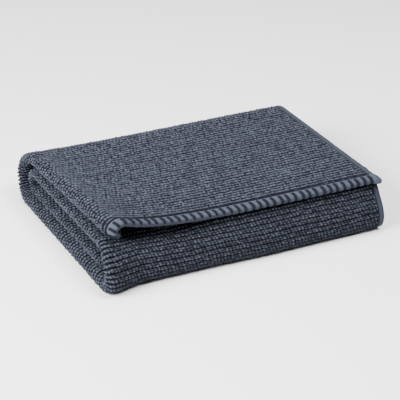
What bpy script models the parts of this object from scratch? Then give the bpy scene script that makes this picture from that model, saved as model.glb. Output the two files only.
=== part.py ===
"""A bath towel of ribbed terry cloth, folded once along its middle and then rolled flat in five layers.

The towel is one cloth, so it is one solid. It starts as a flat grid, the towel laid open, and the
folds carry each line of the grid to its place. X runs across the folded strip, from the lengthwise
fold on the left to the selvedges on the right. Y runs from the front to the back.
"""

import math
from typing import NamedTuple

import bpy
import numpy as np
from mathutils import Matrix

# The cloth, in metres.
TOWEL_WIDTH = 0.700
TOWEL_LENGTH = 1.200
CLOTH_THICKNESS = 0.0046
HEM_THICKNESS = 0.0072
EDGE_THICKNESS = 0.0030
PRESSED_HEM_THICKNESS = 0.0050
HEM_DEPTH = 0.012

# The folded block.
BLOCK_DEPTH = 0.279
LAYER_GAP = 0.0018
PLY_HALF_SPACING = 0.0035  # from a layer's centre to the middle of each ply
BULK_REACH = 0.048  # how far from the lengthwise fold its bulk dies away

# How the top layer ends at the front.
HEM_SETBACK = 0.014  # from the front of the block
LOWER_HEM_SETBACK = 0.026  # from the upper ply's hem
LOWER_HEM_SLACK = 0.120  # the length of lower ply that takes up its setback
LOWER_HEM_SPREAD = 0.042  # how far from the fold the setback grows to its full depth
HEM_DROOP = 0.0030
DROOP_REACH = 0.020  # the length of cloth that droops
HEM_DRAW_IN = 0.009  # how far the end of the lengthwise fold is drawn in
HEM_SPREAD = 0.002  # how far the end of the selvedge stands out

CLOTH_COLOUR = (0.105, 0.122, 0.165, 1.0)
CLOTH_ROUGHNESS = 0.95


class Layer(NamedTuple):
    """One layer of the folded strip, two plies thick."""

    front_bulk: float  # how much fatter the lengthwise fold is than the flat plies, each side
    back_bulk: float
    fold_inset: float  # how far its fold sits to the right
    edge_inset: float  # how far its selvedges sit to the right


# Counted from the floor: base, lower inner, inner, upper inner and top.
LAYERS = (
    Layer(front_bulk=0.0050, back_bulk=0.0026, fold_inset=-0.0095, edge_inset=-0.004),
    Layer(front_bulk=-0.0004, back_bulk=-0.0008, fold_inset=0.000, edge_inset=-0.006),
    Layer(front_bulk=-0.0004, back_bulk=-0.0008, fold_inset=0.008, edge_inset=-0.006),
    Layer(front_bulk=-0.0006, back_bulk=-0.0008, fold_inset=-0.001, edge_inset=-0.003),
    Layer(front_bulk=0.0083, back_bulk=0.0008, fold_inset=0.000, edge_inset=-0.005),
)
BASE, LOWER_INNER, INNER, UPPER_INNER, TOP = range(len(LAYERS))


class Turn(NamedTuple):
    """A crosswise fold that carries the strip from one layer to another."""

    end: int  # +1 at the back, -1 at the front
    reach: float  # how far its centre line bulges past the layers that it joins
    lean: float  # how much further its lower layer runs than its upper one
    clearance: float  # from the block's outer face to the turn's outer face
    steps: int


# The strip's way from the hem that shows to the hidden one: each layer, and the turn that follows it.
ROUTE = (
    (TOP, Turn(end=+1, reach=0.0307, lean=0.006, clearance=0.0000, steps=12)),
    (BASE, Turn(end=-1, reach=0.0190, lean=0.018, clearance=0.0000, steps=12)),
    (UPPER_INNER, Turn(end=+1, reach=0.0125, lean=0.002, clearance=0.0300, steps=8)),
    (LOWER_INNER, Turn(end=-1, reach=0.0068, lean=0.000, clearance=0.0255, steps=8)),
    (INNER, None),
)


class Bulge(NamedTuple):
    """How far the front fold stands forward of a straight line, at a place across the strip."""

    x: float
    forward: float


FRONT_BULGES = (
    Bulge(x=0.000, forward=0.0050),
    Bulge(x=0.045, forward=-0.0040),
    Bulge(x=0.110, forward=-0.0030),
    Bulge(x=0.200, forward=0.0000),
    Bulge(x=0.360, forward=0.0000),
)


class Station(NamedTuple):
    """A crosswise line on the cloth."""

    leg: int  # its row in ROUTE
    share: float  # how far along the layer it is, or round the turn
    offset: float  # metres added along the layer
    turning: bool
    thickness: float


# Places along a layer, along a hem from its edge, and across a ply from the roll to the selvedge.
RUN_SHARES = (0.0, 0.2, 0.4, 0.6, 0.8, 1.0)
HEM_SHARES = (0.0, 0.25, 0.75, 1.0, 1.3)
HEM_PROFILE = (EDGE_THICKNESS, HEM_THICKNESS, HEM_THICKNESS, CLOTH_THICKNESS, CLOTH_THICKNESS)
PRESSED_HEM_PROFILE = (
    EDGE_THICKNESS,
    PRESSED_HEM_THICKNESS,
    PRESSED_HEM_THICKNESS,
    CLOTH_THICKNESS,
    CLOTH_THICKNESS,
)
PLY_SHARES = (0.04, 0.09, 0.15, 0.23, 0.36, 0.52, 0.70, 0.88, 0.985, 1.0)
ROLL_STEPS = 8
PLACING_ROUNDS = 3


def clear_scene():
    for old in list(bpy.data.objects):
        bpy.data.objects.remove(old, do_unlink=True)


def smooth(t):
    """0 below 0, 1 above 1, and an S-curve between."""
    t = np.clip(t, 0.0, 1.0)
    return t * t * (3.0 - 2.0 * t)


def half_spacing(layer, x, y):
    """Half the distance between the middles of a layer's two plies."""
    near_fold = np.exp(-np.maximum(x, 0.0) / BULK_REACH)
    to_front = smooth(0.5 - y / BLOCK_DEPTH)
    front_bulk, back_bulk = LAYERS[layer].front_bulk, LAYERS[layer].back_bulk
    return PLY_HALF_SPACING + near_fold * (back_bulk + (front_bulk - back_bulk) * to_front)


def front_bulge(x):
    """The table of bulges, joined by S-curves."""
    forward = FRONT_BULGES[0].forward + 0.0 * x
    for here, there in zip(FRONT_BULGES, FRONT_BULGES[1:]):
        forward = forward + (there.forward - here.forward) * smooth((x - here.x) / (there.x - here.x))
    return forward


def level(layer, x, y):
    """The height of a layer's centre, with all that lies under it."""
    height = CLOTH_THICKNESS / 2 + half_spacing(BASE, x, y)
    for below in range(layer):
        height = height + half_spacing(below, x, y) + half_spacing(below + 1, x, y)
        height = height + CLOTH_THICKNESS + LAYER_GAP
    return height


def run_end(turn, is_upper, x):
    """Where a layer ends and its turn begins. The upper layer of the two ends first."""
    outer = BLOCK_DEPTH / 2 - turn.clearance - CLOTH_THICKNESS / 2 - PLY_HALF_SPACING
    bulge = math.hypot(turn.reach, turn.lean / 2)
    skew = -turn.lean / 2 if is_upper else turn.lean / 2
    return turn.end * (outer - bulge + skew + (front_bulge(x) if turn.end < 0 else 0.0))


def layer_start(leg, x):
    if leg == 0:
        return HEM_SETBACK - BLOCK_DEPTH / 2 + 0.0 * x
    before, turn = ROUTE[leg - 1]
    return run_end(turn, ROUTE[leg][0] > before, x)


def layer_end(leg, x, hidden_end):
    layer, turn = ROUTE[leg]
    if turn is None:
        return hidden_end + 0.0 * x
    return run_end(turn, layer > ROUTE[leg + 1][0], x)


def layer_point(leg, share, offset, x, hidden_end):
    """(y, z) of the strip's centre on a layer."""
    start, end = layer_start(leg, x), layer_end(leg, x, hidden_end)
    y = start + share * (end - start) + offset
    return np.array([y, level(ROUTE[leg][0], x, y)])


def turn_point(leg, share, x, hidden_end):
    """(y, z) of the strip's centre on the turn after a layer: a leaning half-ellipse."""
    turn = ROUTE[leg][1]
    start = layer_point(leg, 1.0, 0.0, x, hidden_end)
    end = layer_point(leg + 1, 0.0, 0.0, x, hidden_end)
    angle = math.pi * share
    point = (start + end) / 2 + (start - end) / 2 * math.cos(angle)
    point[0] += turn.end * turn.reach * math.sin(angle)
    return point


def centre_point(station, x, hidden_end):
    if station.turning:
        return turn_point(station.leg, station.share, x, hidden_end)
    return layer_point(station.leg, station.share, station.offset, x, hidden_end)


def make_stations():
    """The cloth's crosswise lines, from the hem that shows to the hidden one."""
    found = []
    last = len(ROUTE) - 1
    for leg, (_, turn) in enumerate(ROUTE):
        if leg == 0:
            for share, thickness in zip(HEM_SHARES, HEM_PROFILE):
                found.append(Station(leg, 0.0, share * HEM_DEPTH, False, thickness))
        for share in RUN_SHARES:
            if (leg, share) not in ((0, 0.0), (last, 1.0)):
                found.append(Station(leg, share, 0.0, False, CLOTH_THICKNESS))
        if leg == last:
            for share, thickness in zip(HEM_SHARES[::-1], PRESSED_HEM_PROFILE[::-1]):
                found.append(Station(leg, 1.0, -share * HEM_DEPTH, False, thickness))
        else:
            for step in range(1, turn.steps):
                found.append(Station(leg, step / turn.steps, 0.0, True, CLOTH_THICKNESS))
    return found


def hidden_hem_place(stations):
    """Where the innermost layer ends, so that the whole strip has the towel's length."""
    place = 0.0
    for _ in range(PLACING_ROUNDS):
        line = np.array([centre_point(each, TOWEL_WIDTH / 4, place) for each in stations])
        place += TOWEL_LENGTH - np.linalg.norm(np.diff(line, axis=0), axis=1).sum()
    return place


def mean_over(station, value):
    """A layer's value at a station, blended into the next layer's round a turn."""
    first = value(ROUTE[station.leg][0])
    if not station.turning:
        return first
    return first * (1.0 - station.share) + value(ROUTE[station.leg + 1][0]) * station.share


def strip_section(half_roll, fold_inset, edge_inset):
    """The strip cut across, from one selvedge round the roll to the other.

    For each point: x, the side (1 on the upper ply, -1 on the lower), and the x that sets its height,
    which is one and the same all round the roll.
    """
    middle = fold_inset + math.pi / 2 * half_roll
    straight = TOWEL_WIDTH / 2 + edge_inset - middle
    ply = [middle + share * straight for share in PLY_SHARES]
    angles = [math.pi * (0.5 + step / ROLL_STEPS) for step in range(ROLL_STEPS + 1)]
    roll = [(middle + half_roll * math.cos(a), math.sin(a)) for a in angles]
    x, side = np.array([(x, 1.0) for x in reversed(ply)] + roll + [(x, -1.0) for x in ply]).T
    return x, side, np.maximum(x, middle)


def towel_rows():
    """The folded cloth's middle surface: a row of points for each station."""
    stations = make_stations()
    hidden_end = hidden_hem_place(stations)
    rows = []
    for number, station in enumerate(stations):
        y_fold = centre_point(station, 0.0, hidden_end)[0]
        half_roll = mean_over(station, lambda layer: half_spacing(layer, 0.0, y_fold))
        fold_inset = mean_over(station, lambda layer: LAYERS[layer].fold_inset)
        edge_inset = mean_over(station, lambda layer: LAYERS[layer].edge_inset)
        x, side, level_x = strip_section(half_roll, fold_inset, edge_inset)

        y, z = centre_point(station, level_x, hidden_end)
        before = centre_point(stations[max(number - 1, 0)], level_x, hidden_end)
        after = centre_point(stations[min(number + 1, len(stations) - 1)], level_x, hidden_end)
        along = (after - before) / np.linalg.norm(after - before, axis=0)
        half = mean_over(station, lambda layer: half_spacing(layer, level_x, y))
        y, z = y - side * half * along[1], z + side * half * along[0]
        if station.leg == 0 and not station.turning:
            from_hem = y + BLOCK_DEPTH / 2 - HEM_SETBACK
            hanging = 1.0 - smooth(from_hem / DROOP_REACH)
            slack = 1.0 - smooth(from_hem / LOWER_HEM_SLACK)
            lower_ply = smooth((x - half_roll) / LOWER_HEM_SPREAD) * (side < 0.0)
            y = y + LOWER_HEM_SETBACK * lower_ply * slack
            z = z - HEM_DROOP * (1.0 + side) / 2 * hanging
            across = x / x.max()
            x = x + (HEM_DRAW_IN * (1.0 - across) + HEM_SPREAD * across) * hanging
        rows.append(np.stack([x, y, z], axis=1))
    return stations, np.array(rows)


def make_towel(collection):
    stations, rows = towel_rows()
    count, across = rows.shape[:2]
    faces = []
    for j in range(count - 1):
        for i in range(across - 1):
            corner = j * across + i
            faces.append((corner, corner + 1, corner + across + 1, corner + across))
    mesh = bpy.data.meshes.new("towel")
    mesh.from_pydata([tuple(point) for point in rows.reshape(-1, 3)], [], faces)
    mesh.shade_smooth()
    towel = bpy.data.objects.new("towel", mesh)
    collection.objects.link(towel)

    weights = towel.vertex_groups.new(name="thickness")
    for j, station in enumerate(stations):
        for i in range(across):
            thickness = station.thickness
            if i in (0, across - 1):
                thickness = min(thickness, EDGE_THICKNESS)
            weights.add([j * across + i], thickness / HEM_THICKNESS, "REPLACE")
    solidify = towel.modifiers.new("cloth", "SOLIDIFY")
    solidify.thickness = HEM_THICKNESS
    solidify.offset = 0.0
    solidify.vertex_group = weights.name
    solidify.thickness_vertex_group = 0.0
    solidify.use_even_offset = False
    return towel


def centre_on_origin(towel):
    """Moves the cloth so that the folded block's footprint is centred on the origin."""
    corners = np.array(towel.evaluated_get(bpy.context.evaluated_depsgraph_get()).bound_box)
    middle = (corners.min(axis=0) + corners.max(axis=0)) / 2
    towel.data.transform(Matrix.Translation((-middle[0], -middle[1], 0.0)))


def terry_material():
    material = bpy.data.materials.new("terry")
    material.use_nodes = True
    shader = material.node_tree.nodes["Principled BSDF"]
    shader.inputs["Base Color"].default_value = CLOTH_COLOUR
    shader.inputs["Roughness"].default_value = CLOTH_ROUGHNESS
    shader.inputs["Metallic"].default_value = 0.0
    return material


clear_scene()
bath_towel = bpy.data.collections.new("bath_towel")
bpy.context.scene.collection.children.link(bath_towel)
towel = make_towel(bath_towel)
towel.data.materials.append(terry_material())
centre_on_origin(towel)
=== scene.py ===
"""A folded bath towel of ribbed terry cloth: its woven ground, the pile on it, its hem and its stitching.

X runs along the hem, from the lengthwise fold on the left to the selvedges, Y from the front to the
back, and Z up. A place on the cloth is given by "across", its distance from the lengthwise fold, which
is negative on the ply whose outer face is the top, and by "along", its distance from the hem that shows.
"""

import math

import bpy
import numpy as np
from mathutils import Matrix, Vector


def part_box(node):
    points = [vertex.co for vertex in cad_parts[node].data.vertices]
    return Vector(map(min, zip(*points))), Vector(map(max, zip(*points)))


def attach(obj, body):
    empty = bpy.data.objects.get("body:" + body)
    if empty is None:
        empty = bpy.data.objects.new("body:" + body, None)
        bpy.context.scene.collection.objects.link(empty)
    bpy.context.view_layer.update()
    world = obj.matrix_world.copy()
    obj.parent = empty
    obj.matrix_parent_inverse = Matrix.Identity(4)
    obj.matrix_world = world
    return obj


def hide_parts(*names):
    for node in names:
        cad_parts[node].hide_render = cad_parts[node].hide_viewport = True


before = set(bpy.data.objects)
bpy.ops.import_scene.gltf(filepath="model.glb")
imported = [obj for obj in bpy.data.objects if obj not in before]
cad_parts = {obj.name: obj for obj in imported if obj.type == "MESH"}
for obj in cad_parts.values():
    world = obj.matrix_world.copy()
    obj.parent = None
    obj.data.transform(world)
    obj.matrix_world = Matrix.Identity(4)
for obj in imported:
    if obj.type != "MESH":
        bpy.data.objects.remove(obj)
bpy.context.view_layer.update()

# --- The ground cloth -------------------------------------------------------------------------------
# The towel is one length of woven cotton, 700 by 1200 mm. It is folded once along its middle and then
# rolled flat in five layers. The pile stands on this ground, which shows bare only along its selvedges.

WIDTH = 0.700
LENGTH = 1.200
CLOTH = 0.0046  # the whole thickness, with the pile
DEPTH = 0.279  # of the folded block
GAP = 0.0018  # between layers
HALF_PLIES = 0.0035  # from a layer's centre to the middle of each ply
BULK_REACH = 0.048  # over which a fat lengthwise fold thins out to the right

BASE, LOWER_INNER, INNER, UPPER_INNER, TOP = range(5)
# For each layer, how much fatter its lengthwise fold is at the front and at the back, each side, and
# how far its fold and its selvedges sit to the right.
FRONT_BULK = (0.0050, -0.0004, -0.0004, -0.0006, 0.0083)
BACK_BULK = (0.0026, -0.0008, -0.0008, -0.0008, 0.0008)
FOLD_INSET = (-0.0095, 0.000, 0.008, -0.001, 0.000)
EDGE_INSET = (-0.004, -0.006, -0.006, -0.003, -0.005)

# The way from the hem that shows to the hidden one: each layer, and the crosswise fold after it as
# which end of the block it is at, how far it bulges, how far it leans, and how deep inside it lies.
ROUTE = (
    (TOP, (+1, 0.0307, 0.006, 0.0000)),
    (BASE, (-1, 0.0190, 0.018, 0.0000)),
    (UPPER_INNER, (+1, 0.0125, 0.002, 0.0300)),
    (LOWER_INNER, (-1, 0.0068, 0.000, 0.0255)),
    (INNER, None),
)
# How far the front fold stands forward of a straight line, at places across the strip.
FRONT_BULGES = ((0.000, 0.0050), (0.045, -0.0040), (0.110, -0.0030), (0.200, 0.0000), (0.360, 0.0000))

# The front fold's upper edge stands up to the hem towards the selvedges, where the hem lies down on it,
# and sinks a little away from it elsewhere, except on the lengthwise fold.
FOLD_EDGE_RISE = 0.0055
FOLD_EDGE_RISE_START, FOLD_EDGE_RISE_END = 0.090, 0.150  # from the lengthwise fold
FOLD_EDGE_DIP = 0.0025
FOLD_EDGE_DIP_START, FOLD_EDGE_DIP_SPREAD = 0.012, 0.025
FOLD_EDGE_REACH = 0.011  # along the cloth
FOLD_EDGE_WAY = (0.0, -0.35, 0.94)  # up and a little forward

HEM_SETBACK = 0.014  # from the front of the block to the upper ply's hem
HEM_DROOP = 0.0030  # how far that hem hangs down
DROOP_REACH = 0.020
HEM_DRAW_IN = 0.009  # how far it is drawn in at the lengthwise fold
HEM_SPREAD = 0.002  # and spread out at the selvedge
LOWER_HEM_SETBACK = 0.032  # how much further back the lower ply's hem lies
LOWER_HEM_SLACK = 0.120  # the length of cloth that takes this up
LOWER_HEM_START = 0.65  # where it starts on the lengthwise fold, as a share of half the fold's height
LOWER_HEM_SPREAD = 0.019


def ease(t):
    """0 below 0, 1 above 1, and an S-curve between."""
    t = np.clip(t, 0.0, 1.0)
    return t * t * (3.0 - 2.0 * t)


def half_layer(layer, x, y):
    """Half the distance between the middles of a layer's two plies."""
    to_front = ease(0.5 - y / DEPTH)
    bulk = BACK_BULK[layer] + (FRONT_BULK[layer] - BACK_BULK[layer]) * to_front
    return HALF_PLIES + np.exp(-np.maximum(x, 0.0) / BULK_REACH) * bulk


def front_bulge(x):
    """How far the front fold stands forward, out to x."""
    forward = FRONT_BULGES[0][1] + 0.0 * x
    for (x0, forward0), (x1, forward1) in zip(FRONT_BULGES, FRONT_BULGES[1:]):
        forward = forward + (forward1 - forward0) * ease((x - x0) / (x1 - x0))
    return forward


def layer_height(layer, x, y):
    """The height of a layer's centre, with the layers below it added up."""
    height = CLOTH / 2 + half_layer(BASE, x, y)
    for below in range(layer):
        height = height + half_layer(below, x, y) + half_layer(below + 1, x, y) + CLOTH + GAP
    return height


def layer_ends(leg, x, hidden_end):
    """Where a layer's straight run starts and ends, front to back."""

    def beside(fold, is_upper):
        end, bulge, lean, inside = fold
        outer = DEPTH / 2 - inside - CLOTH / 2 - HALF_PLIES
        skew = -lean / 2 if is_upper else lean / 2
        return end * (outer - math.hypot(bulge, lean / 2) + skew + (front_bulge(x) if end < 0 else 0.0))

    layer, fold = ROUTE[leg]
    if leg == 0:
        start = HEM_SETBACK - DEPTH / 2 + 0.0 * x
    else:
        start = beside(ROUTE[leg - 1][1], layer > ROUTE[leg - 1][0])
    end = hidden_end + 0.0 * x if fold is None else beside(fold, layer > ROUTE[leg + 1][0])
    return start, end


def strip_centre(leg, folding, share, x, hidden_end):
    """(y, z) of the strip's centre, a share of the way along a layer or round the fold after it."""
    start, end = layer_ends(leg, x, hidden_end)
    if not folding:
        y = start + share * (end - start)
        return y, layer_height(ROUTE[leg][0], x, y)
    side, bulge, _, _ = ROUTE[leg][1]
    next_start, _ = layer_ends(leg + 1, x, hidden_end)
    z0 = layer_height(ROUTE[leg][0], x, end)
    z1 = layer_height(ROUTE[leg + 1][0], x, next_start)
    turn = np.cos(math.pi * share)
    y = (end + next_start) / 2 + (end - next_start) / 2 * turn + side * bulge * np.sin(math.pi * share)
    return y, (z0 + z1) / 2 + (z0 - z1) / 2 * turn


def cloth_middle(leg, folding, share, across, hidden_end):
    """The cloth's middle surface: a row for each share and a column for each place across."""
    share = np.asarray(share, float)[:, None]
    across = np.asarray(across, float)[None, :]

    def of_layer(value):
        first = value(ROUTE[leg][0])
        return first * (1.0 - share) + value(ROUTE[leg + 1][0]) * share if folding else first

    y_fold, _ = strip_centre(leg, folding, share, 0.0, hidden_end)
    half_roll = of_layer(lambda layer: half_layer(layer, 0.0, y_fold))
    middle = of_layer(lambda layer: FOLD_INSET[layer] + 0.0 * share) + math.pi / 2 * half_roll
    straight = WIDTH / 2 + of_layer(lambda layer: EDGE_INSET[layer] + 0.0 * share) - middle
    half_turn = math.pi / 2 * (half_roll + CLOTH / 2)
    run_out = np.maximum(np.abs(across) - half_turn, 0.0) / (WIDTH / 2 - half_turn)
    bend = math.pi * (1.0 + np.clip(across / half_turn, -1.0, 1.0) / 2)
    side = np.sin(bend)
    x = middle + run_out * straight + half_roll * np.cos(bend)
    level_x = np.maximum(x, middle)

    y, z = strip_centre(leg, folding, share, level_x, hidden_end)
    step = 0.002
    y1, z1 = strip_centre(leg, folding, share + step, level_x, hidden_end)
    y0, z0 = strip_centre(leg, folding, share - step, level_x, hidden_end)
    length = np.hypot(y1 - y0, z1 - z0)
    half = of_layer(lambda layer: half_layer(layer, level_x, y))
    y, z = y - side * half * (z1 - z0) / length, z + side * half * (y1 - y0) / length
    if leg == 0 and not folding:
        from_hem = y + DEPTH / 2 - HEM_SETBACK
        hanging = 1.0 - ease(from_hem / DROOP_REACH)
        slack = 1.0 - ease(from_hem / LOWER_HEM_SLACK)
        past_fold = ease((x - LOWER_HEM_START * half_roll) / LOWER_HEM_SPREAD)
        y = y + LOWER_HEM_SETBACK * past_fold * (side < 0.0) * slack
        z = z - HEM_DROOP * (1.0 + side) / 2 * hanging
        share_across = x / x.max()
        x = x + (HEM_DRAW_IN * (1.0 - share_across) + HEM_SPREAD * share_across) * hanging
    return np.stack(np.broadcast_arrays(x, y, z), axis=2)


STRETCHES = [(leg, folding) for leg in range(5) for folding in (False, True)][:-1]

# The hidden end lies where the towel's whole length is used up.
hidden_end = 0.0
shares = np.linspace(0.0, 1.0, 400)
for _ in range(3):
    centre = []
    for leg, folding in STRETCHES:
        centre.append(np.stack(strip_centre(leg, folding, shares, WIDTH / 4, hidden_end), axis=1))
    hidden_end += LENGTH - np.linalg.norm(np.diff(np.concatenate(centre), axis=0), axis=1).sum()

# Distances along are measured on the outer face of the upper ply, about halfway to the selvedge.
MID_PLY = -0.190
starts = [0.0]
runs = []
for stretch in STRETCHES:
    y, z = cloth_middle(*stretch, shares, [MID_PLY], hidden_end)[:, 0, 1:].T
    dy, dz = np.gradient(y), np.gradient(z)
    y, z = y - dz / np.hypot(dy, dz) * CLOTH / 2, z + dy / np.hypot(dy, dz) * CLOTH / 2
    runs.append(np.concatenate([[0.0], np.cumsum(np.hypot(np.diff(y), np.diff(z)))]))
    starts.append(starts[-1] + runs[-1][-1])
TOP_END, BACK_END, UNDER_END, FRONT_END, UPPER_END, INNER_BACK_END, LOWER_END, INNER_FRONT_END = starts[1:9]
FAR_END = starts[-1]


def cloth_points(along, across):
    """The folded cloth's middle surface: a row for each place along and a column for each place across."""
    points = np.empty((len(along), len(across), 3))
    last = len(STRETCHES) - 1
    for number, stretch in enumerate(STRETCHES):
        after = along >= starts[number] if number else np.full(len(along), True)
        before = along < starts[number + 1] if number < last else np.full(len(along), True)
        here = after & before
        if here.any():
            run, whole = along[here] - starts[number], runs[number][-1]
            share = np.interp(run, runs[number], shares)
            share = share + np.minimum(run, 0.0) / whole + np.maximum(run - whole, 0.0) / whole
            points[here] = cloth_middle(*stretch, share, across, hidden_end)
    near_edge = np.exp(-(((along - FRONT_END + FOLD_EDGE_REACH) / FOLD_EDGE_REACH) ** 2))
    far_out = ease((-across - FOLD_EDGE_RISE_START) / (FOLD_EDGE_RISE_END - FOLD_EDGE_RISE_START))
    off_fold = ease((-across - FOLD_EDGE_DIP_START) / FOLD_EDGE_DIP_SPREAD)
    lift = FOLD_EDGE_RISE * far_out - FOLD_EDGE_DIP * off_fold * (1.0 - far_out)
    return points + (near_edge[:, None] * lift[None, :])[..., None] * FOLD_EDGE_WAY


def cloth_faces(along, across):
    """Points of the cloth's middle surface, and the normals of its outer face."""
    wide_along = np.concatenate([[2 * along[0] - along[1]], along, [2 * along[-1] - along[-2]]])
    wide_across = np.concatenate([[2 * across[0] - across[1]], across, [2 * across[-1] - across[-2]]])
    points = cloth_points(wide_along, wide_across)
    normals = np.cross(points[2:, 1:-1] - points[:-2, 1:-1], points[1:-1, 2:] - points[1:-1, :-2])
    normals /= np.linalg.norm(normals, axis=2, keepdims=True)
    return points[1:-1, 1:-1], normals


# The folded block stands where the solid stands.
low, high = np.array(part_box("towel"))
middle, normals = cloth_faces(np.arange(0.0, FAR_END, 0.003), np.arange(-WIDTH / 2, WIDTH / 2, 0.003))
outer = middle + normals * CLOTH / 2
PLACE = (low + high) / 2 - (outer.min(axis=(0, 1)) + outer.max(axis=(0, 1))) / 2
PLACE[2] = 0.0


def drift(u, v, seed):
    """A slow random change, from -1 to 1, over a cloth divided into cells of 1 by 1."""
    table = np.random.default_rng(seed).uniform(-1.0, 1.0, (256, 256))
    i, j = np.floor(u).astype(int), np.floor(v).astype(int)
    to_i, to_j = ease(u - i), ease(v - j)
    i0, j0, i1, j1 = i % 256, j % 256, (i + 1) % 256, (j + 1) % 256
    near = table[i0, j0] * (1.0 - to_i) + table[i1, j0] * to_i
    far = table[i0, j1] * (1.0 - to_i) + table[i1, j1] * to_i
    return near * (1.0 - to_j) + far * to_j


def grid_faces(rows, columns):
    corner = np.arange(rows * columns).reshape(rows, columns)
    faces = np.stack([corner[:-1, :-1], corner[1:, :-1], corner[1:, 1:], corner[:-1, 1:]], axis=-1)
    return faces.reshape(-1, 4)


def towel_piece(name, points, faces, place, fullness, material, bake_map=None, loops=None):
    """A piece of the towel that knows its places on the cloth and how full its pile or its puffs are, which
    its material also turns into painted shade.
    """
    mesh = bpy.data.meshes.new(name)
    mesh.from_pydata(points.reshape(-1, 3) + PLACE, [], faces)
    mesh.shade_smooth()
    for known, kind, field, values in (
        ("place", "FLOAT_VECTOR", "vector", place),
        ("fullness", "FLOAT", "value", fullness),
        ("loops", "FLOAT_VECTOR", "vector", loops),
    ):
        if values is not None:
            made = mesh.attributes.new(known, kind, "POINT")
            made.data.foreach_set(field, values.astype(np.float32).ravel())
    if bake_map is not None:
        corners = np.empty(len(mesh.loops), np.int32)
        mesh.loops.foreach_get("vertex_index", corners)
        made = mesh.uv_layers.new(name="OFBake")
        made.data.foreach_set("uv", bake_map.reshape(-1, 2)[corners].astype(np.float32).ravel())
    mesh.materials.append(material)
    piece = bpy.data.objects.new(name, mesh)
    bpy.context.scene.collection.objects.link(piece)
    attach(piece, "root")
    return piece


def add_node(tree, kind, inputs, **settings):
    """A shader node with its settings; an input is a value or another node's output."""
    made = tree.nodes.new(kind)
    for name, value in settings.items():
        setattr(made, name, value)
    for socket, value in inputs.items():
        if isinstance(value, bpy.types.NodeSocket):
            tree.links.new(value, made.inputs[socket])
        else:
            made.inputs[socket].default_value = value
    return made


def work_out(tree, operation, *values):
    """A sum that the shader works out at each point."""
    return add_node(tree, "ShaderNodeMath", dict(enumerate(values)), operation=operation).outputs[0]


def use_group(tree, group, inputs):
    return add_node(tree, "ShaderNodeGroup", inputs, node_tree=group).outputs[0]


def effect_group(name, inputs, outputs):
    """An empty node group with named sockets, and its input and output nodes."""
    group = bpy.data.node_groups.new(name, "ShaderNodeTree")
    for socket, (kind, value) in inputs.items():
        made = group.interface.new_socket(socket, in_out="INPUT", socket_type=kind)
        if value is not None:
            made.default_value = value
    for socket, kind in outputs.items():
        group.interface.new_socket(socket, in_out="OUTPUT", socket_type=kind)
    return group, group.nodes.new("NodeGroupInput").outputs, group.nodes.new("NodeGroupOutput").inputs


VECTOR, NUMBER, COLOUR = "NodeSocketVector", "NodeSocketFloat", "NodeSocketColor"

# Cotton yarn is never one even colour: the dye takes differently from yarn to yarn.
heather, given, out = effect_group(
    "cotton heather",
    {"Place": (VECTOR, None), "Light": (COLOUR, None), "Dark": (COLOUR, None), "Unevenness": (NUMBER, 0.5)},
    {"Colour": COLOUR},
)
slow = add_node(heather, "ShaderNodeTexNoise", {"Vector": given["Place"], "Scale": 28.0, "Detail": 2.0})
quick = add_node(heather, "ShaderNodeTexNoise", {"Vector": given["Place"], "Scale": 900.0, "Detail": 1.0})
both = add_node(heather, "ShaderNodeMix", {0: 0.80, 2: slow.outputs["Fac"], 3: quick.outputs["Fac"]})
spread = add_node(
    heather, "ShaderNodeMapRange", {"Value": both.outputs[0], "From Min": 0.38, "From Max": 0.62}
)
amount = work_out(heather, "MULTIPLY", spread.outputs[0], given["Unevenness"])
mixed = add_node(heather, "ShaderNodeMix", {0: amount, 6: given["Light"], 7: given["Dark"]}, data_type="RGBA")
heather.links.new(mixed.outputs[2], out["Colour"])

# The loose fibres that stand out of a soft-spun yarn.
fuzz, given, out = effect_group(
    "yarn fuzz", {"Place": (VECTOR, None), "Fineness": (NUMBER, 1.0)}, {"Height": NUMBER}
)
finer = add_node(
    fuzz, "ShaderNodeVectorMath", {0: given["Place"], "Scale": given["Fineness"]}, operation="SCALE"
)
hairs = add_node(fuzz, "ShaderNodeTexNoise", {"Vector": finer.outputs[0], "Scale": 900.0, "Detail": 4.0})
tufts = add_node(fuzz, "ShaderNodeTexVoronoi", {"Vector": finer.outputs[0], "Scale": 650.0})
fuzz.links.new(work_out(fuzz, "SUBTRACT", hairs.outputs["Fac"], tufts.outputs["Distance"]), out["Height"])

# Threads that pass over and under each other, as far apart as the Thread input says.
weave, given, out = effect_group(
    "plain weave", {"Place": (VECTOR, None), "Thread": (NUMBER, 0.0008)}, {"Height": NUMBER}
)
apart = work_out(weave, "DIVIDE", math.pi, given["Thread"])
angles = add_node(weave, "ShaderNodeVectorMath", {0: given["Place"], "Scale": apart}, operation="SCALE")
split = add_node(weave, "ShaderNodeSeparateXYZ", {0: angles.outputs[0]})
warp = work_out(weave, "SINE", split.outputs[0])
weft = work_out(weave, "SINE", split.outputs[1])
weave.links.new(work_out(weave, "MULTIPLY", warp, weft), out["Height"])


def cloth_material(name, sheen, bump_depth):
    """A matt cotton material: its node tree, shader, bump and place on the cloth."""
    material = bpy.data.materials.new(name)
    material.use_nodes = True
    tree = material.node_tree
    shader = tree.nodes["Principled BSDF"]
    shader.inputs["Specular IOR Level"].default_value = 0.04
    shader.inputs["Sheen Weight"].default_value = sheen
    shader.inputs["Sheen Roughness"].default_value = 0.5
    shader.inputs["Sheen Tint"].default_value = (0.72, 0.80, 1.0, 1.0)
    shader.inputs["Roughness"].default_value = 0.92
    bump = add_node(tree, "ShaderNodeBump", {"Strength": 1.0, "Distance": bump_depth})
    tree.links.new(bump.outputs[0], shader.inputs["Normal"])
    place = add_node(tree, "ShaderNodeAttribute", {}, attribute_name="place")
    full = add_node(tree, "ShaderNodeAttribute", {}, attribute_name="fullness")
    return material, tree, shader, bump, place.outputs["Vector"], full.outputs["Fac"]


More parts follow.
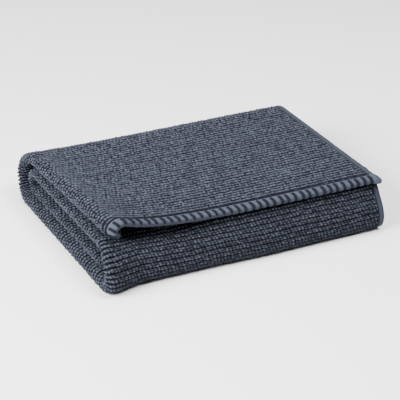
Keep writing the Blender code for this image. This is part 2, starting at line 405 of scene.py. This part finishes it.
def feed_bump(tree, bump, hairs, hairs_share, threads):
    """Give the bump the height of the threads and a share of their fuzz."""
    tree.links.new(work_out(tree, "MULTIPLY_ADD", hairs, hairs_share, threads), bump.inputs["Height"])


# Where the ground is bare it is a tight plain weave; elsewhere its face is the foot of the pile. There both
# its faces are painted near-black: painted shade deep under the pile and between the plies.
WOVEN_LIGHT = (0.0335, 0.0366, 0.0498, 1.0)
WOVEN_DARK = (0.0183, 0.0203, 0.0285, 1.0)
FOOT_SHADE = (0.0026, 0.0031, 0.0060, 1.0)
ground_cotton, tree, shader, bump, place, bare = cloth_material("ground_cotton", 0.04, 0.0004)
dye = {"Place": place, "Light": WOVEN_LIGHT, "Dark": WOVEN_DARK, "Unevenness": 0.6}
colours = {0: bare, 6: FOOT_SHADE, 7: use_group(tree, heather, dye)}
dyed = add_node(tree, "ShaderNodeMix", colours, data_type="RGBA")
tree.links.new(dyed.outputs[2], shader.inputs["Base Color"])
threads = use_group(tree, weave, {"Place": place, "Thread": 0.0009})
feed_bump(tree, bump, use_group(tree, fuzz, {"Place": place, "Fineness": 1.0}), 0.4, threads)

SELVEDGE = 0.007  # the width of the bare band
BAND_END, BAND_BLEND = 0.0064, 0.0008  # where its face starts to sink to the ground's, and how soon
EDGE_ROUNDING = 0.0012
GROUND_FACE = -0.0006  # the ground's outer face above the cloth's middle
GROUND_BACK = 0.0021  # and its inner face under it, with its flattened pile
BAND_FACE = 0.0016
FLAT_STEP, FOLD_STEP = 0.0045, 0.0026  # between the mesh's rows, along a layer and round a fold

# The mesh's columns are closest at the selvedges and round the lengthwise fold.
one_ply = WIDTH / 2 - np.array([0.0, 0.0003, 0.0009, 0.0018, 0.0038, 0.0058, 0.0068, 0.0076, 0.0100])
one_ply = np.concatenate([one_ply, np.linspace(0.334, 0.034, 22), np.arange(0.030, 0.001, -0.002)])
across = np.concatenate([-one_ply, [0.0], one_ply[::-1]])
along = []
for start, run, (_, folding) in zip(starts, runs, STRETCHES):
    rows = math.ceil(run[-1] / (FOLD_STEP if folding else FLAT_STEP))
    along.append(start + np.linspace(0.0, run[-1], rows, endpoint=False))
along = np.concatenate(along)[1:]
middle, normals = cloth_faces(along, across)
from_edge = WIDTH / 2 - np.abs(across)
band = 1.0 - ease((from_edge - BAND_END) / BAND_BLEND)
rounding = np.sqrt(np.clip(from_edge / EDGE_ROUNDING, 0.04, 1.0))[:, None]
face = (GROUND_FACE + (BAND_FACE - GROUND_FACE) * band[:, None]) * rounding
back = (GROUND_BACK + (BAND_FACE - GROUND_BACK) * band[:, None]) * rounding
rows, columns = middle.shape[:2]
count = rows * columns
faces = [grid_faces(rows, columns), grid_faces(rows, columns)[:, ::-1] + count]
for line in (
    np.arange(rows) * columns,
    np.arange(count - columns, count),
    np.arange(rows)[::-1] * columns + columns - 1,
    np.arange(columns)[::-1],
):
    faces.append(np.stack([line[1:], line[:-1], line[:-1] + count, line[1:] + count], axis=-1))
place = np.stack(np.broadcast_arrays(across[None, :], along[:, None], 0.0), axis=-1)
ground = towel_piece(
    "ground_cloth",
    np.stack([middle + normals * face, middle - normals * back]),
    np.concatenate(faces),
    np.stack([place, place]),
    np.broadcast_to(band, (2, rows, columns)),
    ground_cotton,
)
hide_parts("towel")

# --- The pile ---------------------------------------------------------------------------------------
# Loops of soft cotton yarn stand on the ground in rows that run across the towel, two lines of small
# loops to a row, each line a quarter of a loop further on. They are woven in with the ground.

ROW = 0.00565
LOOP = 0.00415
LOOP_HALF_WIDTH = 0.0026
LOOP_HALF_LENGTH = 0.0025
LOOP_SLANT, SLANT_SPREAD = -0.36, 0.25  # aside for each step along
LOOP_ASIDE, LOOP_AHEAD = 0.0003, 0.0004  # how far a loop stands out of its even place
LOOP_HEIGHT, HEIGHT_SPREAD = 0.88, 0.12
FLUFF, FLUFF_SIZE = 0.16, 0.0013
ROW_SLIDE = 0.05  # how far a row slides along itself, as a share of a loop
ROW_SHIFT = 0.0003
CHANGE = 0.020  # the distance over which one state of the pile passes into the next
PULLED_WIDER, PULLED_LONGER = 0.0008, 0.0005  # the front fold pulls its loops larger
PULLED_END = FRONT_END + 0.060
PULLED_START, PULLED_SPREAD = 0.004, 0.012  # from the lengthwise fold
ROLL_REACH = 0.021  # round the lengthwise fold the rows open out and stand up
ROLL_SHORTER, ROLL_HIGHER = 0.26, 0.12
TOP_WIDER, TOP_SHORTER = 0.0006, 0.0002  # the top's loops are pressed together in their rows
TOP_START = 0.010  # from the lengthwise fold
TOP_SLID = 2.0  # and its rows have slid about more
CREST_END = 0.230  # the top's edge along the lengthwise fold is pressed flatter than the rest
CREST_PLACE = -0.026
CREST_REACH, CREST_WIDER_AT_HEM, CREST_HEM_REACH = 0.0075, 0.009, 0.050
CREST_HEIGHT, CREST_PRESSED = 0.68, 0.50
PILE_FOOT = -0.0004  # above the cloth's middle
PILE_TIP = 0.0024
PRESSED_TIP = 0.0023  # under the block
SUNK = 0.0008  # where there is no pile, how far its sheet lies under the cloth's middle
HEM_DEPTH = 0.0130  # the pile starts beyond it
SIDE_START, END_START = 0.0015, 0.0008  # how soon it stands up beside the selvedge and beyond the hem


def loop_height(across, along):
    """The pile's height, from 0 between the rows to 1 on them, with its loop, its row and its pull."""
    across, along = np.broadcast_arrays(across, along)
    random = np.random.default_rng(13)
    row_slide = random.uniform(-ROW_SLIDE, ROW_SLIDE, 512)
    row_shift = random.uniform(-ROW_SHIFT, ROW_SHIFT, 512)
    aside, ahead, size, slant = random.uniform(-1.0, 1.0, (4, 512, 512))
    wander = 0.0009 * drift(across / 0.034, along / 0.022, 11)
    wander = wander + 0.0003 * drift(across / 0.0065, along / 0.006, 12)
    slide = 0.0006 * drift(across / 0.013, along / 0.0045, 14)
    row = (along + wander) / ROW

    pulled = ease((along - UNDER_END) / CHANGE + 0.5) * ease((PULLED_END - along) / CHANGE)
    pulled = pulled * ease((-across - PULLED_START) / PULLED_SPREAD)
    rolled = np.exp(-((across / ROLL_REACH) ** 2))
    on_top = ease((TOP_END - along) / CHANGE) * ease((-across - TOP_START) / CHANGE)
    half_width = LOOP_HALF_WIDTH + PULLED_WIDER * pulled
    half_width = half_width + TOP_WIDER * on_top
    half_length = LOOP_HALF_LENGTH * (1.0 - ROLL_SHORTER * rolled) + PULLED_LONGER * pulled
    half_length = half_length - TOP_SHORTER * on_top

    height = np.zeros(across.shape)
    for step in (-1, 0, 1):
        number = np.floor(row).astype(int) + step
        slid = 1.0 + TOP_SLID * (number * ROW < TOP_END)
        loop = (across + slide) / LOOP + 0.5 * (number % 2) + slid * row_slide[number % 512]
        for side in (0, 1):
            which = np.floor(loop - 0.5).astype(int) + side
            pick = number % 512, which % 512
            past = (row - number - 0.5) * ROW + LOOP_AHEAD * ahead[pick] + row_shift[number % 512]
            beside = (loop - which - 0.5) * LOOP + LOOP_ASIDE * slid * aside[pick]
            beside = beside + (SLANT_SPREAD * slant[pick] + LOOP_SLANT) * past
            reach = 1.0 - (beside / half_width) ** 2 - (past / half_length) ** 2
            dome = np.maximum(reach, 0.0) ** 0.7 * (LOOP_HEIGHT + HEIGHT_SPREAD * size[pick])
            height = np.maximum(height, dome)

    fluff = 1.0 + FLUFF * drift(across / FLUFF_SIZE, along / FLUFF_SIZE, 16)
    height = height * fluff * (1.0 + ROLL_HIGHER * rolled)
    crest_reach = CREST_REACH + CREST_WIDER_AT_HEM * ease(1.0 - along / CREST_HEM_REACH)
    crest = np.exp(-(((across - CREST_PLACE) / crest_reach) ** 2)) * (along < CREST_END)
    height = height + (CREST_HEIGHT - height) * CREST_PRESSED * crest
    return height, np.stack([(across + slide) / LOOP, row, pulled], axis=-1)


def pile_skin(name, along_ends, across_ends, along_step, across_step, tip=PILE_TIP):
    """A patch of pile between two places along the cloth and two across it."""
    along = np.linspace(*along_ends, round((along_ends[1] - along_ends[0]) / along_step) + 1)
    across = np.linspace(*across_ends, round((across_ends[1] - across_ends[0]) / across_step) + 1)
    middle, normals = cloth_faces(along, across)
    height, loops = loop_height(across[None, :], along[:, None])
    standing = ease((WIDTH / 2 - np.abs(across) - SELVEDGE) / SIDE_START)[None, :]
    standing = standing * ease((along - HEM_DEPTH) / END_START)[:, None]
    stand = (PILE_FOOT + (tip - PILE_FOOT) * height) * standing - SUNK * (1.0 - standing)
    points = middle + normals * stand[..., None]
    points[..., 2] = np.maximum(points[..., 2], 0.0)  # the pile that it lies on is pressed flat
    faces = grid_faces(len(along), len(across))
    place = np.stack(np.broadcast_arrays(across[None, :], along[:, None], height), axis=-1)
    map_rows, map_columns = np.linspace(0.0, 1.0, len(along)), np.linspace(0.0, 1.0, len(across))
    bake_map = np.stack(np.broadcast_arrays(map_columns[None, :], map_rows[:, None]), axis=-1)
    return towel_piece(name, points, faces, place, height, ribbed_terry, bake_map, loops)


# The small loops of a row, drawn only as painted shade between them: Loops holds the number of the loop and
# of the row, which has two lines of them.
small_loops, given, out = effect_group(
    "small loops",
    {"Loops": (VECTOR, None), "Second Line": (NUMBER, 0.7), "Unevenness": (NUMBER, 0.3)},
    {"Height": NUMBER},
)
split = add_node(small_loops, "ShaderNodeSeparateXYZ", {0: given["Loops"]})
lines = work_out(small_loops, "MULTIPLY", split.outputs[1], 2.0)
line_number = work_out(small_loops, "FLOOR", lines)
# Each line is a quarter of a loop further on than the one before.
stepped = work_out(small_loops, "MULTIPLY_ADD", line_number, -0.25, split.outputs[0])
on_row = work_out(small_loops, "ADD", stepped, 0.125)
loop_number = work_out(small_loops, "FLOOR", on_row)
cell = add_node(small_loops, "ShaderNodeCombineXYZ", {0: loop_number, 1: line_number})
chance = add_node(small_loops, "ShaderNodeTexWhiteNoise", {"Vector": cell.outputs[0]}, noise_dimensions="2D")
beside, past = work_out(small_loops, "FRACT", on_row), work_out(small_loops, "FRACT", lines)
inside = add_node(small_loops, "ShaderNodeCombineXYZ", {0: beside, 1: past}).outputs[0]
astray = chance.outputs["Color"]
for operation, inputs in (("SUBTRACT", {1: (0.5, 0.5, 0.0)}), ("SCALE", {"Scale": given["Unevenness"]})):
    moved = add_node(small_loops, "ShaderNodeVectorMath", {0: astray, **inputs}, operation=operation)
    astray = moved.outputs[0]
for operation, second in (("SUBTRACT", (0.5, 0.5, 0.0)), ("ADD", astray), ("MULTIPLY", (2.0, 2.2, 0.0))):
    moved = add_node(small_loops, "ShaderNodeVectorMath", {0: inside, 1: second}, operation=operation)
    inside = moved.outputs[0]
reach = add_node(small_loops, "ShaderNodeVectorMath", {0: inside}, operation="LENGTH")
dome = add_node(
    small_loops,
    "ShaderNodeMapRange",
    {"Value": reach.outputs["Value"], "From Min": 0.45, "From Max": 1.05, "To Min": 1.0, "To Max": 0.0},
)
is_second = work_out(small_loops, "FLOORED_MODULO", line_number, 2.0)
level = add_node(
    small_loops, "ShaderNodeMapRange", {"Value": is_second, "To Min": 1.0, "To Max": given["Second Line"]}
)
small_loops.links.new(work_out(small_loops, "MULTIPLY", dome.outputs[0], level.outputs[0]), out["Height"])

TIP_LIGHT = (0.1263, 0.1383, 0.1818, 1.0)
TIP_DARK = (0.0407, 0.0454, 0.0637, 1.0)
# The pile is painted darker towards its foot, down to near-black between its rows and loops: painted shade in
# the hollows.
VALLEY_SHADE = (0.0015, 0.0019, 0.0040, 1.0)
ribbed_terry, tree, shader, bump, place, height = cloth_material("ribbed_terry", 0.04, 0.0006)
dye = {"Place": place, "Light": TIP_LIGHT, "Dark": TIP_DARK, "Unevenness": 0.9}
yarn = use_group(tree, heather, dye)
lit = add_node(tree, "ShaderNodeMapRange", {"Value": height, "From Min": 0.34, "From Max": 0.88})
loops = add_node(tree, "ShaderNodeAttribute", {}, attribute_name="loops").outputs["Vector"]
small = use_group(tree, small_loops, {"Loops": loops, "Second Line": 0.60, "Unevenness": 0.42})
# It is painted a little darker between the small loops, and much darker where the front fold pulls them
# apart: painted shade in the gaps.
pulled = add_node(tree, "ShaderNodeSeparateXYZ", {0: loops}).outputs[2]
between = add_node(tree, "ShaderNodeMapRange", {"Value": pulled, "To Min": 0.70, "To Max": 0.10})
small_lit = add_node(tree, "ShaderNodeMapRange", {"Value": small, "To Min": between.outputs[0]})
lit = work_out(tree, "MULTIPLY", lit.outputs[0], small_lit.outputs[0])
dyed = add_node(tree, "ShaderNodeMix", {0: lit, 6: VALLEY_SHADE, 7: yarn}, data_type="RGBA")
tree.links.new(dyed.outputs[2], shader.inputs["Base Color"])
tree.links.new(use_group(tree, fuzz, {"Place": place, "Fineness": 1.0}), bump.inputs["Height"])

# Each patch with its places along and across, and its mesh's steps: fine where it can be seen closely.
FINE_ROW, FINE_LOOP = ROW / 6, LOOP / 5
pile = [
    pile_skin("pile_top_right", (0.012, TOP_END), (-0.350, -0.160), FINE_ROW, FINE_LOOP),
    pile_skin("pile_top_left", (0.012, TOP_END), (-0.160, 0.046), FINE_ROW, FINE_LOOP),
    pile_skin("pile_back_fold", (TOP_END, BACK_END), (-0.350, 0.046), FINE_ROW, LOOP / 4),
    pile_skin("pile_under", (BACK_END, UNDER_END), (-0.350, -0.030), ROW / 4, LOOP / 2.6, PRESSED_TIP),
    pile_skin("pile_under_left", (BACK_END, UNDER_END), (-0.030, 0.034), FINE_ROW, FINE_LOOP, PRESSED_TIP),
    pile_skin("pile_front_fold", (UNDER_END, FRONT_END + 0.012), (-0.350, 0.036), FINE_ROW, FINE_LOOP),
    pile_skin("pile_under_hem", (FRONT_END + 0.012, FRONT_END + 0.055), (-0.350, 0.036), FINE_ROW, FINE_LOOP),
    pile_skin("pile_left_upper", (FRONT_END + 0.055, UPPER_END), (-0.034, 0.034), FINE_ROW, FINE_LOOP),
    pile_skin("pile_left_inner_back", (UPPER_END, INNER_BACK_END), (-0.034, 0.034), FINE_ROW, FINE_LOOP),
    pile_skin("pile_left_lower", (INNER_BACK_END, LOWER_END), (-0.034, 0.034), FINE_ROW, FINE_LOOP),
    pile_skin("pile_left_inner_front", (LOWER_END, INNER_FRONT_END), (-0.034, 0.034), FINE_ROW, FINE_LOOP),
    pile_skin("pile_left_inner", (INNER_FRONT_END, FAR_END - 0.010), (-0.034, 0.034), FINE_ROW, FINE_LOOP),
    pile_skin("pile_right_upper", (0.030, UNDER_END), (0.320, 0.350), ROW / 4, LOOP / 3),
    pile_skin("pile_right_lower", (UNDER_END, FAR_END - 0.010), (0.320, 0.350), ROW / 4, LOOP / 3),
    pile_skin("pile_right_inner", (FRONT_END + 0.055, FAR_END - 0.010), (-0.350, -0.320), ROW / 4, LOOP / 3),
]

# --- The hems ---------------------------------------------------------------------------------------
# Each end of the towel is turned over twice into a thick bead of the same woven cotton, without pile. The
# overcast stitches draw the bead in, so that it puffs out between them, and it runs out to a thin tip.

STITCH_SPACING = 0.0093
STITCH_END = 0.0125  # from the selvedges to the first stitch and the last
STITCH_UNEVEN = 0.0007
HEM_MIDDLE = 0.0060  # from the cloth's end to the middle of the bead
HEM_HALF_DEPTH = 0.0064
HEM_HALF_THICKNESS = 0.0036
HIDDEN_HEM_HALF_THICKNESS = 0.0025
HEM_PROUD = 0.004  # beyond the selvedge
PUFF, DRAWN_IN, PUFF_UNEVEN = 0.20, 0.16, 0.03  # between the stitches, and at them
GROOVE_REACH = 0.0022  # to each side of a stitch
GROOVE_LET_GO = 0.75  # how far the groove fades out on the bead's outer side, where it is loose
TIP_LENGTH = 0.012
TIP_BLUNTNESS = 2.8
TIP_SWELL, SWELL_REACH = 0.26, 0.008
TIP_DROOP = 0.0022

# Angles go round the bead from its inner side, over its top to its outer side, and back underneath.
STITCH_FIRST_TURN, STITCH_LAST_TURN = 0.36 * math.pi, 1.80 * math.pi
STITCH_SLANT = -0.0012  # at its first turn, towards the selvedge of the upper ply
SLANT_REACH = 0.42 * math.pi
FLAT_STRIP = 0.10 * math.pi  # before the first turn, where no stitch draws the bead in
SHADE_TURN = 1.25 * math.pi  # the bead's painted shade is darkest here, low on its outer side, where the stitches draw it in most
LOWER_HALF_SHADE, TIGHT_SHADE = 0.85, 0.55  # how dark the painted shade on the bead's lower half is, and which share of it where the hem is tight
SHADE_LEVEL = 0.45  # a higher one takes the shade further round the bead
SHADE_TIP = 0.010  # it ends before the tips
LOOSE_START, LOOSE_SPREAD = -0.200, 0.080  # places across
BEAD_RADIUS = 0.0045  # about, for the weave round it

stitch_random = np.random.default_rng(21)
stitch_places = np.arange(-WIDTH / 2 + STITCH_END, WIDTH / 2 - STITCH_END, STITCH_SPACING)
stitch_places = stitch_places + stitch_random.uniform(-STITCH_UNEVEN, STITCH_UNEVEN, len(stitch_places))


def stitch_offset(turn):
    """How far across a stitch lies from its place, at an angle round the bead."""
    return STITCH_SLANT * (1.0 - ease((turn - STITCH_FIRST_TURN) / SLANT_REACH))


def looseness(across):
    """1 where the hem hangs free of the layer under it and its stitches are slack, 0 where it is tight."""
    return ease((across - LOOSE_START) / LOOSE_SPREAD)


# Places on both sides of a line across the cloth show which way the cloth faces there.
ON_BOTH_SIDES = np.array([-0.001, 0.0, 0.001])


def hem_frame(across, end, inwards):
    """The bead's middle points, the ways into the cloth and out of its face, for places across."""
    along = end + inwards * HEM_MIDDLE + ON_BOTH_SIDES
    points, normals = cloth_faces(along, across)
    into = (points[2] - points[0]) * inwards
    into /= np.linalg.norm(into, axis=1, keepdims=True)
    out_of = normals[1] - into * (normals[1] * into).sum(axis=1, keepdims=True)
    return points[1], into, out_of / np.linalg.norm(out_of, axis=1, keepdims=True)


def hem_section(turn, half_depth, half_thickness):
    """Depth and thickness of the bead's outline at angles round it: flattest on top beside the pile."""
    cos, sin = np.cos(turn), np.sin(turn)
    depth_power = np.where(sin > 0.0, np.where(cos > 0.0, 0.50, 0.72), 1.15)
    thickness_power = np.where(sin > 0.0, np.where(cos > 0.0, 0.60, 0.84), 0.80)
    depth = half_depth * np.sign(cos) * np.abs(cos) ** depth_power
    return depth, half_thickness * np.sign(sin) * np.abs(sin) ** thickness_power


def tube_faces(rings, sides):
    """The faces of a tube of rings of points, and the numbers of its corners, ring by ring."""
    corner = np.arange(rings * sides).reshape(rings, sides)
    beside = np.roll(corner, -1, axis=1)
    return np.stack([corner[:-1], beside[:-1], beside[1:], corner[1:]], axis=-1).reshape(-1, 4), corner


def hem_bead(name, end, inwards, half_thickness, step, around, drawn_in):
    """The bead at one end of the towel; inwards is the way along the cloth from its end."""
    edge = WIDTH / 2 + HEM_PROUD
    across = np.linspace(-edge, edge, round(2 * edge / step) + 1)
    centre, into, out_of = hem_frame(across, end, inwards)
    centre = centre - out_of * (TIP_DROOP * (1.0 - ease((edge - np.abs(across)) / TIP_LENGTH)))[:, None]
    turn = np.arange(around) * 2 * math.pi / around
    loose = looseness(across)[:, None]

    nearest = across[:, None] - stitch_offset(turn)[None, :]
    gap = np.abs(nearest[..., None] - stitch_places).min(axis=2)
    puff = 1.0 - np.exp(-((gap / GROOVE_REACH) ** 2))
    on_outer_side = ease((np.sin(turn / 2) ** 2 - 0.84) / 0.15)[None, :]
    smoothed = GROOVE_LET_GO * loose * on_outer_side
    flat_strip = 1.0 - ease((turn - STITCH_FIRST_TURN) / FLAT_STRIP + 1.0)[None, :]
    puff = puff + (1.0 - puff) * np.maximum(smoothed, flat_strip)
    uneven = drift(across[:, None] / 0.009, turn[None, :] * 0.8, 22)
    swell = 1.0 + drawn_in * (PUFF * puff - DRAWN_IN + PUFF_UNEVEN * uneven)

    from_end = edge - np.abs(across)[:, None]
    tip = np.clip(from_end / TIP_LENGTH, 0.002, 1.0)
    slim = np.sqrt(1.0 - (1.0 - tip) ** TIP_BLUNTNESS)
    slim = slim * (1.0 + TIP_SWELL * (1.0 - ease((from_end - SWELL_REACH) / SWELL_REACH)))
    depth, thickness = hem_section(turn[None, :], HEM_HALF_DEPTH * slim, half_thickness * slim)
    points = centre[:, None] + into[:, None] * (depth * swell)[..., None]
    points = points + out_of[:, None] * (thickness * swell)[..., None]
    faces, corner = tube_faces(len(across), around)
    if inwards < 0:
        faces = faces[:, ::-1]
    closed = faces.tolist() + [corner[0, ::-inwards].tolist(), corner[-1, ::inwards].tolist()]

    place = np.stack(np.broadcast_arrays(across[:, None], turn[None, :] * BEAD_RADIUS, 0.0), axis=-1)
    # The bead's colour is darkened by painted shade: over its lower half, less where the hem is tight, and in
    # the grooves where the stitches draw it in.
    shade = LOWER_HALF_SHADE * (TIGHT_SHADE + (1.0 - TIGHT_SHADE) * loose)
    shade = shade * ease(from_end / SHADE_TIP - 1.0) * ease(np.cos(turn[None, :] - SHADE_TURN) + SHADE_LEVEL)
    fullness = np.maximum(puff, 1.0 - tip) * (1.0 - shade)
    return towel_piece(name, points, closed, place, fullness, hem_cotton)


# The bead's colour falls from its heathered cotton to a dark painted shade in the stitches' grooves and over
# its lower half.
HEM_LIGHT = (0.0528, 0.0586, 0.0779, 1.0)
HEM_DARK = (0.0309, 0.0348, 0.0476, 1.0)
HEM_SHADE = (0.0171, 0.0189, 0.0274, 1.0)
hem_cotton, tree, shader, bump, place, unshaded = cloth_material("hem_cotton", 0.05, 0.00035)
dye = {"Place": place, "Light": HEM_LIGHT, "Dark": HEM_DARK, "Unevenness": 0.7}
unshaded_part = add_node(tree, "ShaderNodeMapRange", {"Value": unshaded, "From Min": 0.0, "From Max": 0.9})
colours = {0: unshaded_part.outputs[0], 6: HEM_SHADE, 7: use_group(tree, heather, dye)}
dyed = add_node(tree, "ShaderNodeMix", colours, data_type="RGBA")
tree.links.new(dyed.outputs[2], shader.inputs["Base Color"])
threads = use_group(tree, weave, {"Place": place, "Thread": 0.0010})
feed_bump(tree, bump, use_group(tree, fuzz, {"Place": place, "Fineness": 0.8}), 0.8, threads)

hem = hem_bead("hem", 0.0, +1, HEM_HALF_THICKNESS, 0.0008, 32, 1.0)
hidden_hem = hem_bead("hidden_hem", FAR_END, -1, HIDDEN_HEM_HALF_THICKNESS, 0.0040, 16, 0.0)

# --- The overcast stitching -------------------------------------------------------------------------
# One dark, thick cotton yarn is sewn over and over round the hem that shows, and a thinner line of the
# same yarn, sewn along the hem's inner side, holds its fold down.

YARN_RADIUS = 0.00160
YARN_TWIST = 2600.0  # radians of twist a metre
STITCH_PROUD = 0.0003
STITCH_SINK = 0.0026  # how far it sinks into the bead's outer side
SINK_START = 0.88  # where it starts to sink, in half-turns
SINK_SOONER = 0.20  # and how much sooner where the hem is loose
SINK_REACH = 0.42 * math.pi
STITCH_DEPTH, STITCH_THICKNESS = 0.86, 0.90  # as shares of the bead's, which they draw in
LINE_RADIUS = 0.00090
LINE_ALONG = 0.0122  # from the cloth's end
LINE_RISE = 0.0028  # above the cloth's middle
LINE_END = 0.004  # from the selvedges
YARN_LIGHT = (0.0090, 0.0105, 0.0165, 1.0)
YARN_DARK = (0.0045, 0.0053, 0.0090, 1.0)

stitching_yarn, tree, shader, bump, place, along_yarn = cloth_material("stitching_yarn", 0.02, 0.0003)
dye = {"Place": place, "Light": YARN_LIGHT, "Dark": YARN_DARK, "Unevenness": 0.9}
tree.links.new(use_group(tree, heather, dye), shader.inputs["Base Color"])
around_yarn = add_node(tree, "ShaderNodeSeparateXYZ", {0: place}).outputs[2]
strands = work_out(tree, "SINE", work_out(tree, "MULTIPLY_ADD", along_yarn, YARN_TWIST, around_yarn))
feed_bump(tree, bump, use_group(tree, fuzz, {"Place": place, "Fineness": 1.0}), 0.5, strands)


def yarn_tube(path, outwards, radius, sides=8):
    """Points, faces, places and lengths of a round yarn along a path, narrowing at both ends."""
    forward = np.gradient(path, axis=0)
    forward /= np.linalg.norm(forward, axis=1, keepdims=True)
    outwards = outwards - forward * (outwards * forward).sum(axis=1, keepdims=True)
    outwards /= np.linalg.norm(outwards, axis=1, keepdims=True)
    sideways = np.cross(forward, outwards)
    run = np.concatenate([[0.0], np.cumsum(np.linalg.norm(np.diff(path, axis=0), axis=1))])
    thick = radius * np.sqrt(np.clip(np.minimum(run, run[-1] - run) / (1.5 * radius), 0.03, 1.0))
    turn = np.arange(sides) * 2 * math.pi / sides
    ring = np.cos(turn)[None, :, None] * outwards[:, None] + np.sin(turn)[None, :, None] * sideways[:, None]
    points = path[:, None] + ring * thick[:, None, None]
    faces, corner = tube_faces(len(path), sides)
    closed = faces.tolist() + [corner[0, ::-1].tolist(), corner[-1].tolist()]
    place = np.stack(np.broadcast_arrays(run[:, None], 0.01, turn[None, :]), axis=-1)
    return points.reshape(-1, 3), closed, place.reshape(-1, 3), np.repeat(run, sides)


def yarn_piece(name, tubes):
    """One piece of all these tubes, each with its own part of the yarn's colouring."""
    points, faces, places, lengths, count = [], [], [], [], 0
    for number, (its_points, its_faces, its_places, its_lengths) in enumerate(tubes):
        points.append(its_points)
        faces += [[corner + count for corner in face] for face in its_faces]
        places.append(its_places + (0.0, 0.013 * number, 0.0))
        lengths.append(its_lengths)
        count += len(its_points)
    points, places, lengths = map(np.concatenate, (points, places, lengths))
    return towel_piece(name, points, faces, places, lengths, stitching_yarn)


turn = np.linspace(STITCH_FIRST_TURN - 0.05 * math.pi, STITCH_LAST_TURN, 30)
across = np.linspace(-WIDTH / 2, WIDTH / 2, 701)
hem_lines = hem_frame(across, 0.0, +1)
tubes = []
for place_across in stitch_places:
    lean = stitch_random.uniform(0.8, 1.2)
    at = place_across + lean * stitch_offset(turn)
    centre, into, out_of = (
        np.stack([np.interp(at, across, line) for line in lines.T], axis=1) for lines in hem_lines
    )
    depth, thickness = hem_section(
        turn, HEM_HALF_DEPTH * STITCH_DEPTH, HEM_HALF_THICKNESS * STITCH_THICKNESS
    )
    outwards = into * (depth / HEM_HALF_DEPTH**2)[:, None]
    outwards = outwards + out_of * (thickness / HEM_HALF_THICKNESS**2)[:, None]
    outwards /= np.linalg.norm(outwards, axis=1, keepdims=True)
    sinks_at = (SINK_START - SINK_SOONER * looseness(place_across)) * math.pi
    proud = STITCH_PROUD - STITCH_SINK * ease((turn - sinks_at) / SINK_REACH)
    path = centre + into * depth[:, None] + out_of * thickness[:, None] + outwards * proud[:, None]
    tubes.append(yarn_tube(path, outwards, YARN_RADIUS * stitch_random.uniform(0.92, 1.08)))
stitches = yarn_piece("overcast_stitches", tubes)

across = np.linspace(-WIDTH / 2 + LINE_END, WIDTH / 2 - LINE_END, 500)
points, normals = cloth_faces(LINE_ALONG + ON_BOTH_SIDES, across)
line = yarn_piece("hem_line", [yarn_tube(points[1] + normals[1] * LINE_RISE, normals[1], LINE_RADIUS, 6)])

# --- The studio -------------------------------------------------------------------------------------
# A plain pale floor in a dim even room. One large soft lamp is at the left, a wider one overhead, and a
# smaller one high in front makes the shadow under the hem.

floor_mesh = bpy.data.meshes.new("floor")
floor_corners = [(-6.0, -6.0, 0.0), (6.0, -6.0, 0.0), (6.0, 6.0, 0.0), (-6.0, 6.0, 0.0)]
floor_mesh.from_pydata(floor_corners, [], [(0, 1, 2, 3)])
pale_floor = bpy.data.materials.new("pale_floor")
pale_floor.use_nodes = True
shader = pale_floor.node_tree.nodes["Principled BSDF"]
shader.inputs["Base Color"].default_value = (0.82, 0.82, 0.82, 1.0)
shader.inputs["Roughness"].default_value = 0.9
floor_mesh.materials.append(pale_floor)
floor = bpy.data.objects.new("floor", floor_mesh)
bpy.context.scene.collection.objects.link(floor)

world = bpy.data.worlds.new("studio")
world.use_nodes = True
world.node_tree.nodes["Background"].inputs["Color"].default_value = (1.0, 1.0, 1.0, 1.0)
world.node_tree.nodes["Background"].inputs["Strength"].default_value = 0.10
bpy.context.scene.world = world

for name, width, height, watts, location in (
    ("soft_lamp", 1.1, 0.9, 139.0, (-1.50, -0.30, 1.00)),
    ("overhead_lamp", 1.6, 1.6, 42.0, (0.1, 0.35, 1.9)),
    ("front_lamp", 0.8, 0.8, 67.0, (0.45, -0.95, 1.75)),
):
    lamp = bpy.data.lights.new(name, "AREA")
    lamp.shape = "RECTANGLE"
    lamp.size, lamp.size_y, lamp.energy = width, height, watts
    lamp_object = bpy.data.objects.new(name, lamp)
    lamp_object.location = location
    lamp_object.rotation_euler = (-Vector(location)).to_track_quat("-Z", "Y").to_euler()
    bpy.context.scene.collection.objects.link(lamp_object)

CAMERA_AZIMUTH = math.radians(26.0)
CAMERA_ELEVATION = math.radians(27.5)
CAMERA_DISTANCE = 1.81
CAMERA_AIM = Vector((0.00115, 0.0, 0.0))
camera_data = bpy.data.cameras.new("camera")
camera_data.sensor_width = 36.0
camera_data.lens = 136.8
camera_data.shift_x = 0.0070
camera_data.shift_y = 0.0342
forward = Vector((
    math.sin(CAMERA_AZIMUTH) * math.cos(CAMERA_ELEVATION),
    math.cos(CAMERA_AZIMUTH) * math.cos(CAMERA_ELEVATION),
    -math.sin(CAMERA_ELEVATION),
))
camera = bpy.data.objects.new("camera", camera_data)
facing = forward.to_track_quat("-Z", "Y").to_matrix().to_4x4()
camera.matrix_world = Matrix.Translation(CAMERA_AIM - forward * CAMERA_DISTANCE) @ facing
bpy.context.scene.collection.objects.link(camera)
bpy.context.scene.camera = camera
